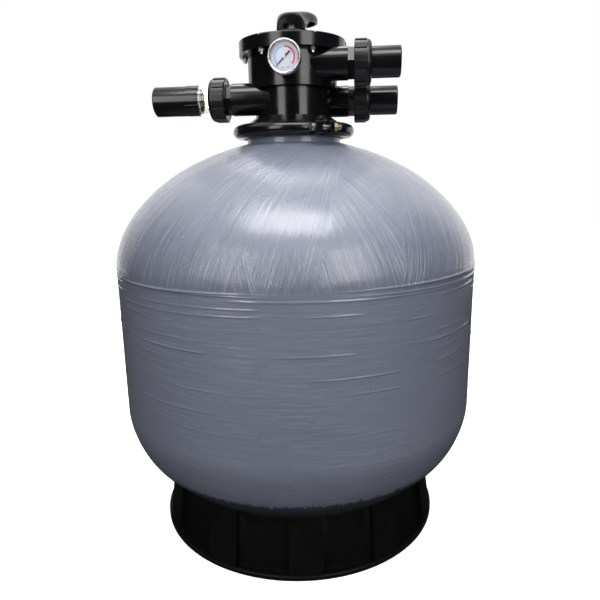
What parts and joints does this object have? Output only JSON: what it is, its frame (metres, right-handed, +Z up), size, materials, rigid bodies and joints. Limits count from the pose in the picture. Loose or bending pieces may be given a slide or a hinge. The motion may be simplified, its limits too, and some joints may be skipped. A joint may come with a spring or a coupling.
{
  "type": "sand filter",
  "caption": "Top-mount sand filter: domed tank on a moulded base, clamped multiport valve with lever handle, unions, sight glass and pressure gauge.",
  "frame": {"origin": "on the tank's axis, on the floor under the base", "axes": "+Z up along the tank's axis; the ports lie along X with two on the +X side; the gauge faces -Y"},
  "size_m": [0.6499, 0.65, 0.9405],
  "materials": {
    "tank_paint": "glossy slate blue paint over wound glass fibre",
    "base_plastic": "satin black moulding with a fine grain",
    "valve_plastic": "glossy black moulding",
    "nut_plastic": "satin black moulding",
    "tail_plastic": "satin black pipe",
    "handle_plastic": "satin black moulding",
    "clear_plastic": "clear, faintly yellow",
    "lens_clear": "clear",
    "rotor_plastic": "light grey moulding",
    "washer_plastic": "slippery black washer",
    "white_pipe": "white pipe",
    "rubber": "soft black rubber",
    "sand": "graded filter sand",
    "bolt_steel": "stainless steel",
    "brass": "machined brass",
    "gauge_black": "black enamel",
    "gauge_chrome": "polished",
    "dial_white": "printed white dial",
    "needle_black": "black enamel"
  },
  "bodies": {
    "tank": {"base_ring": "base_plastic", "tank_shell": "tank_paint", "tank_neck": "tank_paint", "neck_o_ring": "rubber", "clamp_half_front": "valve_plastic", "clamp_half_rear": "valve_plastic", "clamp_bolts": "bolt_steel", "clamp_nuts": "brass", "standpipe": "white_pipe", "lateral_hub": "valve_plastic", "laterals": "white_pipe", "sand_bed": "sand", "drain_fitting": "valve_plastic", "drain_gasket": "rubber", "drain_nut": "valve_plastic"},
    "drain_cap": {"drain_cap": "valve_plastic"},
    "valve": {"valve_body": "valve_plastic", "diffuser": "valve_plastic", "spider_gasket": "rubber", "tail_pump": "tail_plastic", "tail_return": "tail_plastic", "tail_waste": "tail_plastic", "sight_glass": "clear_plastic", "union_o_rings": "rubber", "valve_lid": "valve_plastic", "lid_bolts": "bolt_steel", "lid_nuts": "bolt_steel", "lid_o_ring": "rubber", "gauge_stem": "brass", "gauge_case": "gauge_black", "gauge_tube": "brass", "gauge_movement": "brass", "gauge_dial": "dial_white", "gauge_lens": "lens_clear", "gauge_bezel": "gauge_chrome"},
    "nut_pump": {"union_nut_pump": "nut_plastic"},
    "nut_return": {"union_nut_return": "nut_plastic"},
    "nut_waste": {"union_nut_waste": "nut_plastic"},
    "gauge_needle": {"gauge_needle": "needle_black"},
    "selector": {"thrust_washer": "washer_plastic", "spring_washer": "bolt_steel", "rotor_spring": "bolt_steel"},
    "rotor": {"rotor": "rotor_plastic", "stem_rings": "rubber", "handle_pin": "bolt_steel"},
    "handle": {"handle": "handle_plastic"}
  },
  "joints": [
    {"name": "valve_swivel", "type": "hinge", "parent": "tank", "child": "valve", "pos_m": [0, 0, 0.71949], "axis": [0, 0, 1], "continuous": true},
    {"name": "selector_turn", "type": "hinge", "parent": "valve", "child": "selector", "pos_m": [0, 0, 0.88479], "axis": [0, 0, 1], "continuous": true},
    {"name": "rotor_lift", "type": "slide", "parent": "selector", "child": "rotor", "axis": [0, 0, 1], "range_m": [0, 0.006], "deforming": ["rotor_spring"]},
    {"name": "handle_press", "type": "hinge", "parent": "rotor", "child": "handle", "pos_m": [0, 0, 0.89699], "axis": [-1, 0, 0], "range_deg": [0, 24], "stiffness_Nm_per_rad": 4, "springref_deg": -28.65},
    {"name": "gauge_needle_turn", "type": "hinge", "parent": "valve", "child": "gauge_needle", "pos_m": [0, -0.1118, 0.82499], "axis": [0, 1, 0], "range_deg": [0, 270], "stiffness_Nm_per_rad": 0.0002, "springref_deg": -28.65},
    {"name": "union_nut_pump_turn", "type": "hinge", "parent": "valve", "child": "nut_pump", "pos_m": [0.1227, -0.042, 0.82519], "axis": [1, 0, 0], "continuous": true},
    {"name": "union_nut_return_turn", "type": "hinge", "parent": "valve", "child": "nut_return", "pos_m": [0.1227, 0.031, 0.77349], "axis": [1, 0, 0], "continuous": true},
    {"name": "union_nut_waste_turn", "type": "hinge", "parent": "valve", "child": "nut_waste", "pos_m": [-0.1257, -0.031, 0.77349], "axis": [-1, 0, 0], "continuous": true},
    {"name": "drain_cap_turn", "type": "hinge", "parent": "tank", "child": "drain_cap", "pos_m": [0, 0.28595, 0.14005], "axis": [0, 0.758, -0.6523], "continuous": true}
  ],
  "couplings": [
    {"joint": "rotor_lift", "follows": "handle_press", "m_per_rad": 0.01432}
  ]
}
